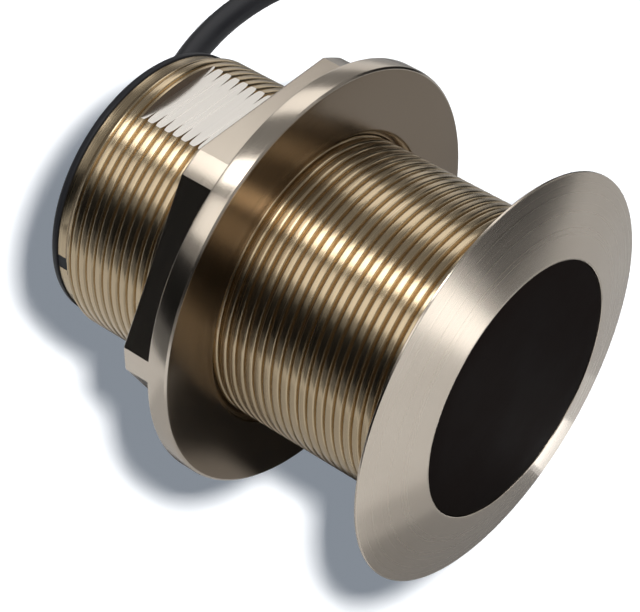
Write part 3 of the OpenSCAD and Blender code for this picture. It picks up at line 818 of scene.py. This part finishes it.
plug_slots = {"plug_body": "plug", "plug_shell": "shell", "plug_insert": "insert", "plug_seal": "seal",
              "plug_pins": "brass"}
plug_pieces = []
for name, line in plug_lines.items():
    mesh = turned(name, eased(line, 2), 64, closed=line[0][0] > 0)
    mesh.transform(plug_place)
    plug_pieces.append(piece(name, mesh, plug_finishes[name], 40))


def pin_tree():
    """Geometry Nodes that set round-tipped pins on a circle."""
    tree, start, end = node_group("ring_of_pins", "Geometry", [
        ("Pins", "Int"), ("Ring Radius", "Float"), ("Pin Radius", "Float"), ("Pin Length", "Float"),
        ("Height", "Float"), ("Finish", "Material")], [("Geometry", "Geometry")])
    size, calc, tip_share = start.outputs, partial(math_node, tree), 0.98
    circle = add(tree, "GeometryNodeMeshCircle", links={
        "Vertices": size["Pins"], "Radius": size["Ring Radius"]})
    barrel = add(tree, "GeometryNodeMeshCylinder", Vertices=24, links={
        "Radius": size["Pin Radius"], "Depth": size["Pin Length"]})
    tip_radius = calc("MULTIPLY", size["Pin Radius"], tip_share)
    tip = add(tree, "GeometryNodeMeshUVSphere", links={"Radius": tip_radius}, Segments=24, Rings=11)
    on_end = add(tree, "ShaderNodeCombineXYZ", links={2: calc("MULTIPLY", size["Pin Length"], 0.5)})
    tip_up = add(tree, "GeometryNodeTransform", links={
        "Geometry": tip.outputs["Mesh"], "Translation": on_end.outputs[0]})
    pin = add(tree, "GeometryNodeMeshBoolean", {"operation": "UNION"}, {"Mesh 2": barrel.outputs["Mesh"]})
    tree.links.new(tip_up.outputs[0], pin.inputs["Mesh 2"])
    placed = add(tree, "GeometryNodeInstanceOnPoints", links={
        "Points": circle.outputs["Mesh"], "Instance": pin.outputs[0]})
    lift = add(tree, "ShaderNodeCombineXYZ", links={2: size["Height"]})
    raised = add(tree, "GeometryNodeTransform", links={
        "Geometry": placed.outputs[0], "Translation": lift.outputs[0]})
    return dressed_output(tree, raised.outputs[0], size["Finish"], end)


pin_brass = bronze("pin_brass", (0.66, 0.48, 0.20), (0.84, 0.66, 0.34), 0.18, 0.15, 0.3)
pin_body = pin_len - pin_r
pins = with_tree("plug_pins_turned", pin_tree(), {
    "Pins": 5, "Ring Radius": shell_r / 2 * MM, "Pin Radius": pin_r * MM, "Pin Length": pin_body * MM,
    "Height": (insert_end + pin_body / 2) * MM, "Finish": pin_brass})
pins.data.transform(plug_place)
pins.data.shade_smooth()
pins.data.set_sharp_from_angle(angle=math.radians(50))
plug_pieces.append(pins)
for made, (node, slot) in zip(plug_pieces, plug_slots.items()):
    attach(made, "transducer")
    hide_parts(node)

# Table, screen and floor
# A white table beside the lying part, which only the metal mirrors, a white screen far behind it,
# which shows its shadow, and a pale floor under the part as it stands.
wall_x, sheet_half = -0.0382, 2
screen_far, screen_half = 2.0, 0.28
white, pale_grey = (0.95, 0.95, 0.95), (0.9, 0.9, 0.9)
square_corners = ((-1, -1), (1, -1), (1, 1), (-1, 1))


def staged(name, corners, finish):
    """A flat sheet that belongs to the stage and not to the part."""
    mesh = bpy.data.meshes.new(name)
    mesh.from_pydata(corners, [], [list(range(len(corners)))])
    mesh.materials.append(finish)
    made = in_scene(name, mesh)
    return made


def backdrop(name, corners, colour, glow, in_gloss):
    """A one-sided pale sheet, which the metal's gloss sees darker than the camera does. It is seen
    through from behind."""
    finish, tree, shader, place = material(name)
    speck = add(tree, "ShaderNodeTexNoise", links={"Vector": place}, Scale=30.0)
    pale = blend_colours(tree, speck.outputs[0], [c * 0.985 for c in colour], colour)
    seen_by = tree.nodes.new("ShaderNodeLightPath").outputs
    mirrored = blend_colours(tree, seen_by["Is Glossy Ray"], pale, [c * in_gloss for c in colour])
    tree.links.new(mirrored, shader.inputs["Base Color"])
    plain(shader, Roughness=0.9, Specular_IOR_Level=0.1, Emission_Color=(1, 1, 1, 1))
    tree.links.new(math_node(tree, "MULTIPLY", seen_by["Is Camera Ray"], glow),
                   shader.inputs["Emission Strength"])
    clear = tree.nodes.new("ShaderNodeBsdfTransparent")
    mix = add(tree, "ShaderNodeMixShader", links={
        0: tree.nodes.new("ShaderNodeNewGeometry").outputs["Backfacing"],
        1: shader.outputs[0], 2: clear.outputs[0]})
    tree.links.new(mix.outputs[0], tree.nodes["Material Output"].inputs["Surface"])
    return staged(name, corners, finish)


table = backdrop("table", [(wall_x, y * sheet_half, z * sheet_half) for y, z in square_corners],
                 white, 0.05, 0.46)
table.visible_camera = table.visible_shadow = table.visible_diffuse = False
to_screen = camera.matrix_world.to_3x3()
screen_centre = camera.matrix_world.translation - to_screen.col[2] * screen_far
screen_place = Matrix.Translation(screen_centre) @ to_screen.to_4x4()
screen = backdrop("screen", [screen_place @ Vector((x * screen_half, y * screen_half, 0))
                             for x, y in square_corners], white, 0.05, 1.0)
floor = backdrop("floor", [(x * sheet_half, y * sheet_half, 0) for x, y in square_corners],
                 pale_grey, 0.1, 1.0)
for sheet in (screen, floor):
    sheet.visible_shadow = sheet.visible_diffuse = sheet.visible_glossy = False

# Studio light
# Long soft boxes beside the stem shape the metal, a lamp in front lights the face, and a small lamp
# beside the camera throws the soft shadow on the screen. Cards from black to white give the metal
# the photograph's dark and light bands, and a cool fill comes from all round.
part_middle = Vector((0, 0, 0.035))


def lamp(name, azimuth, elevation, distance, width, length, radiance):
    """A soft box that looks at the middle of the part, with its length along the stem."""
    light = bpy.data.lights.new(name, "AREA")
    light.shape, light.size, light.size_y = "RECTANGLE", width, length
    light.energy = 4 * width * length * radiance
    made = in_scene(name, light)
    a, e = math.radians(azimuth), math.radians(elevation)
    out = Vector((math.cos(a) * math.cos(e), math.sin(a) * math.cos(e), math.sin(e)))
    across = Vector((-math.sin(a), math.cos(a), 0))
    towards_part = Matrix((across, out.cross(across), out)).transposed().to_4x4()
    made.matrix_world = Matrix.Translation(part_middle + out * distance) @ towards_part
    made.visible_camera = False
    return made


for box in (lamp("key_box", -15, 0, 0.7, 0.17, 1.2, 2.6), lamp("side_box", -41, 0, 0.7, 0.25, 1.2, 0.8),
            lamp("far_box", 35, 5, 0.7, 0.27, 1.2, 0.8), lamp("right_box", 84, 5, 0.7, 0.3, 1.2, 0.4)):
    box.visible_diffuse = False
front_lamp = lamp("front_lamp", -18, -25, 1.4, 0.12, 0.12, 500.0)
shadow_lamp = lamp("shadow_lamp", 0, 0, 1.0, 0.0063, 0.0063, 294000.0)
beside_camera = Vector((0.00833, 0.00559, 0))
shadow_lamp.matrix_world = Matrix.Translation(to_screen @ beside_camera) @ camera.matrix_world
floor_lamp = lamp("floor_lamp", -120, 62, 1.4, 0.6, 0.6, 13.0)
# Only what the photograph shows throws a shadow on the screen. Screen and floor have lamps of their own
in_view, on_screen, on_floor, elsewhere = [
    bpy.data.collections.new(name) for name in ("in_view", "on_screen", "on_floor", "elsewhere")]
for made in (housing, nut, window, cap, boot):
    in_view.objects.link(made)
on_screen.objects.link(screen)
on_floor.objects.link(floor)
elsewhere.objects.link(screen)
elsewhere.collection_objects[0].light_linking.link_state = "EXCLUDE"
for light, lit in ((front_lamp, elsewhere), (shadow_lamp, on_screen), (floor_lamp, on_floor)):
    light.visible_glossy = False
    light.light_linking.receiver_collection = lit
for light in (front_lamp, shadow_lamp):
    light.light_linking.blocker_collection = in_view


def gloss_card(name, corners, finish):
    """A sheet of one tone, from black to white, that only the metal's gloss sees."""
    card = staged(name, corners, finish)
    card.visible_camera = card.visible_shadow = card.visible_diffuse = False


black, grey, mid, dim, dark, glowing_highlight_card = [
    moulded("card_" + name, (low,) * 3, (high,) * 3, 0.9, 300, 0.1) for name, low, high in (
        ("black", 0.003, 0.005), ("grey", 0.26, 0.31), ("mid", 0.30, 0.34), ("dim", 0.15, 0.18),
        ("dark", 0.06, 0.08), ("white", 0.80, 0.84))]
# The white cards glow a little though they are no lamps: painted highlights in the metal
plain(glowing_highlight_card.node_tree.nodes["Principled BSDF"], Emission_Color=(1, 1, 1, 1), Emission_Strength=0.5)
side_r, side_low, side_high = 0.4, Vector((0, 0, -1.2)), Vector((0, 0, 1.0))
side_from, side_to = [Vector((math.cos(a), math.sin(a), 0)) * side_r
                      for a in (math.radians(-95), math.radians(-61))]
gloss_card("side_card", [side_from + side_low, side_to + side_low, side_to + side_high,
                         side_from + side_high], black)
# The other cards lie on the table, at a small lift, with their outlines as (y, z)
# The contact, head and foot cards are painted shade: the table's shade under the part, as the metal mirrors
# it
for name, finish, lift, outline in (
        ("left_card", dark, 0.4, [(-2, -2), (-0.13, -2), (-0.13, 2), (-2, 2)]),
        ("right_card", mid, 0.4, [(0.042, 0.015), (0.062, -0.1), (2, -0.1), (2, 0.015)]),
        ("far_card", black, 0.4, [(0.062, -0.1), (0.066, -0.15), (0.2, -0.7), (2, -0.7), (2, -0.1)]),
        ("spoke_card", glowing_highlight_card, 0.8, [(0.033, -0.06), (0.037, -0.132), (0.045, -0.38), (0.22, -0.7),
                                     (0.071, -0.15), (0.049, -0.06)]),
        ("painted_contact_shade_card", grey, 0.4, [(-0.1, 0.008), (0.017, 0.008), (0.017, 0.072), (-0.1, 0.072)]),
        ("head_card", dim, 0.4, [(-0.03, -0.014), (0.017, -0.014), (0.017, 0.008), (-0.03, 0.008)]),
        ("foot_card", grey, 0.4, [(-0.03, -0.028), (0.017, -0.028), (0.017, -0.014), (-0.03, -0.014)]),
        ("edge_card", grey, 0.6, [(0.049, -0.06), (0.071, -0.15), (0.22, -0.7), (0.3, -0.7),
                                  (0.088, -0.15), (0.06, -0.06)]),
        ("stem_card", grey, 0.4, [(0.03, 0.015), (2, 0.015), (2, 1), (0.03, 1)]),
        ("near_card", glowing_highlight_card, 0.8, [(0.018, -0.02), (0.031, -0.02), (0.031, 0.003), (0.018, 0.003)])):
    gloss_card(name, [(wall_x + lift * MM, y, z) for y, z in outline], finish)

world = bpy.data.worlds.new("studio")
bpy.context.scene.world = world
world.use_nodes = True
sky_tree = world.node_tree
sky_path = sky_tree.nodes.new("ShaderNodeLightPath")
fill = blend_colours(sky_tree, sky_path.outputs["Is Glossy Ray"], (0.19, 0.22, 0.26), (0.20, 0.20, 0.20))
sky_tree.links.new(blend_colours(sky_tree, sky_path.outputs["Is Camera Ray"], fill, (1, 1, 1)),
                   sky_tree.nodes["Background"].inputs["Color"])
bpy.context.scene.view_settings.view_transform = "Standard"
